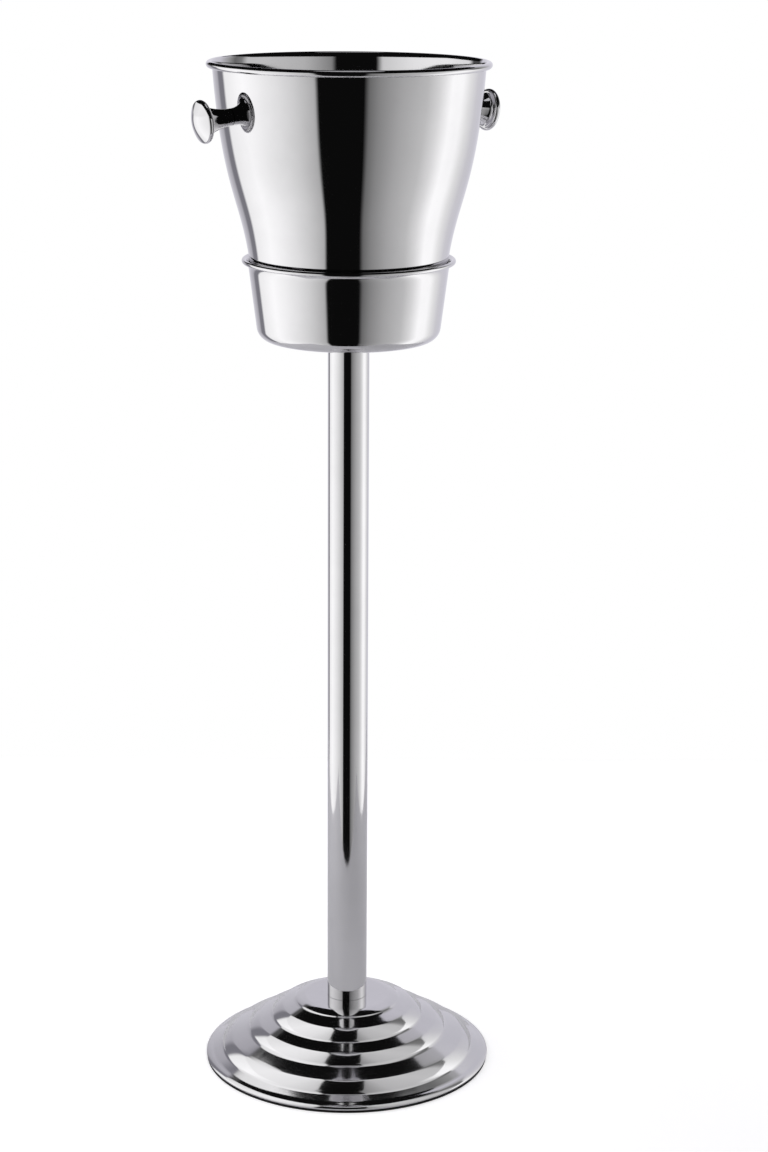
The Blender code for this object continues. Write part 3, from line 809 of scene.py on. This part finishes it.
def studio_object(name, builder):
    """A glowing sheet that the camera doesn't see.

    Returns its nodes, its emission shader, the share of a full turn and the height at a point.
    """
    mesh = bpy.data.meshes.new(name)
    builder.to_mesh(mesh)
    builder.free()
    panel = bpy.data.objects.new(name, mesh)
    panel.rotation_euler = (0.0, 0.0, -CAMERA_TURN)
    panel.visible_camera = False
    bpy.context.collection.objects.link(panel)
    material = bpy.data.materials.new(name)
    material.use_nodes = True
    material.node_tree.nodes.clear()
    mesh.materials.append(material)
    nodes = Nodes(material.node_tree)
    parts = nodes.add("ShaderNodeSeparateXYZ")
    nodes.put(parts.inputs[0], nodes.add("ShaderNodeTexCoord").outputs["Object"])
    x, y, z = parts.outputs
    azimuth = nodes.math("ARCTAN2", x, nodes.math("MULTIPLY", y, -1.0))
    share = nodes.math("MULTIPLY_ADD", azimuth, 0.5 / math.pi, 0.5)
    lamps = nodes.add("ShaderNodeEmission")
    lamps.inputs["Strength"].default_value = LAMP_POWER
    return nodes, lamps, share, z


def show(nodes, surface):
    """Sends a shader to the tree's material output."""
    nodes.put(nodes.add("ShaderNodeOutputMaterial").inputs["Surface"], surface)


def make_studio_wall():
    """Two large lamps beside the camera, a dark gap between them and a pale wall behind."""
    builder = bmesh.new()
    count = 120
    rings = [[], [], []]
    for i in range(count):
        degrees = 360.0 * i / count - 180.0
        turn = math.radians(degrees)
        for ring, height in zip(rings, (WALL_LOW, WALL_BAND, stops_at(degrees, WALL_TOPS))):
            ring.append(builder.verts.new((WALL_RADIUS * math.sin(turn),
                                           -WALL_RADIUS * math.cos(turn), height)))
    for lower, upper in zip(rings, rings[1:]):
        for i in range(count):
            j = (i + 1) % count
            builder.faces.new((lower[j], lower[i], upper[i], upper[j]))
    nodes, lamps, share, z = studio_object("studio_wall", builder)
    mix = nodes.add("ShaderNodeMix", data_type="RGBA")
    nodes.put(mix.inputs["Factor"],
              nodes.span(z, WALL_BAND - WALL_BLEND, WALL_BAND + WALL_BLEND, 0.0, 1.0))
    nodes.put(mix.inputs["A"], ramp(nodes, share, AROUND_LOW))
    nodes.put(mix.inputs["B"], ramp(nodes, share, AROUND_HIGH))
    nodes.put(lamps.inputs["Color"], mix.outputs["Result"])
    show(nodes, lamps.outputs[0])


def make_canopy():
    """Panels lit on their undersides only; nothing sees their tops."""
    builder = bmesh.new()
    for outline in (CANOPY_LEFT, CANOPY_RIGHT):
        face = builder.faces.new([builder.verts.new((right, -near, CANOPY_HEIGHT))
                                  for right, near in outline])
        face.normal_update()
        if face.normal.z > 0.0:
            face.normal_flip()
    nodes, lamps, share, _ = studio_object("studio_canopy", builder)
    nodes.put(lamps.inputs["Color"], ramp(nodes, share, AROUND_HIGH))
    clear = nodes.add("ShaderNodeBsdfTransparent")
    choose = nodes.add("ShaderNodeMixShader")
    nodes.put(choose.inputs[0], nodes.add("ShaderNodeNewGeometry").outputs["Backfacing"])
    nodes.put(choose.inputs[1], lamps.outputs[0])
    nodes.put(choose.inputs[2], clear.outputs[0])
    show(nodes, choose.outputs[0])


def make_ceiling():
    """A dim round panel high above, so the bucket isn't black to an eye that looks into it."""
    builder = bmesh.new()
    count = 48
    turns = [2.0 * math.pi * i / count for i in range(count)]
    face = builder.faces.new([builder.verts.new((CEILING_RADIUS * math.cos(a),
                                                 CEILING_RADIUS * math.sin(a), CEILING_HEIGHT))
                              for a in turns])
    face.normal_flip()
    nodes, lamps, _, _ = studio_object("studio_ceiling", builder)
    lamps.inputs["Color"].default_value = (0.8, 0.8, 0.83, 1.0)
    lamps.inputs["Strength"].default_value = CEILING_LIGHT
    show(nodes, lamps.outputs[0])


def make_top_light():
    """Soft light for the floor, which the steel doesn't mirror."""
    data = bpy.data.lights.new("top_light", "AREA")
    data.shape = "SQUARE"
    data.size = TOP_LIGHT_SIZE
    data.energy = TOP_LIGHT_POWER
    top = bpy.data.objects.new("top_light", data)
    top.location = (0.0, 0.0, TOP_LIGHT_HEIGHT)
    top.visible_glossy = False
    top.visible_camera = False
    bpy.context.collection.objects.link(top)


def make_world():
    """White paper to the camera, darkness to everything else."""
    world = bpy.data.worlds.new("studio")
    bpy.context.scene.world = world
    world.use_nodes = True
    world.node_tree.nodes.clear()
    nodes = Nodes(world.node_tree)
    dark = nodes.add("ShaderNodeBackground")
    dark.inputs["Color"].default_value = (DARK, DARK, DARK, 1.0)
    paper = nodes.add("ShaderNodeBackground")
    paper.inputs["Color"].default_value = (1.0, 1.0, 1.0, 1.0)
    choose = nodes.add("ShaderNodeMixShader")
    nodes.put(choose.inputs[0], nodes.add("ShaderNodeLightPath").outputs["Is Camera Ray"])
    nodes.put(choose.inputs[1], dark.outputs[0])
    nodes.put(choose.inputs[2], paper.outputs[0])
    nodes.put(nodes.add("ShaderNodeOutputWorld").inputs["Surface"], choose.outputs[0])


def make_camera():
    """The pinhole camera fitted to the photo's outlines."""
    data = bpy.data.cameras.new("camera")
    data.sensor_width = 36.0
    data.lens = CAMERA_LENS
    data.clip_start = 0.05
    camera = bpy.data.objects.new("camera", data)
    bpy.context.collection.objects.link(camera)
    level = Vector((math.sin(CAMERA_TURN), math.cos(CAMERA_TURN), 0.0))
    right = level.cross(Vector((0.0, 0.0, 1.0)))
    forward = level * math.cos(CAMERA_PITCH) - Vector((0.0, 0.0, math.sin(CAMERA_PITCH)))
    up = right.cross(forward)
    turn = Matrix((right, up, -forward)).transposed().to_4x4()
    place = -CAMERA_DISTANCE * level + CAMERA_ASIDE * right + Vector((0.0, 0.0, CAMERA_HEIGHT))
    camera.matrix_world = Matrix.Translation(place) @ turn @ Matrix.Rotation(CAMERA_ROLL, 4, "Z")
    bpy.context.scene.camera = camera


# ---- the scene ---------------------------------------------------------------------------------

bpy.context.scene.view_settings.view_transform = "Standard"

make_camera()
make_studio_wall()
make_canopy()
make_ceiling()
make_top_light()
make_world()
make_floor()
make_base_cover()
make_edge_ring()
make_tube()
make_holder_cup()
make_bucket_shell()
for knob_side, knob_sign in (("left", -1.0), ("right", 1.0)):
    make_knob(knob_side, knob_sign)
    make_knob_fixing(knob_side, knob_sign)
make_plate_screws()
make_holder_fixing()
dress_kept_nodes()
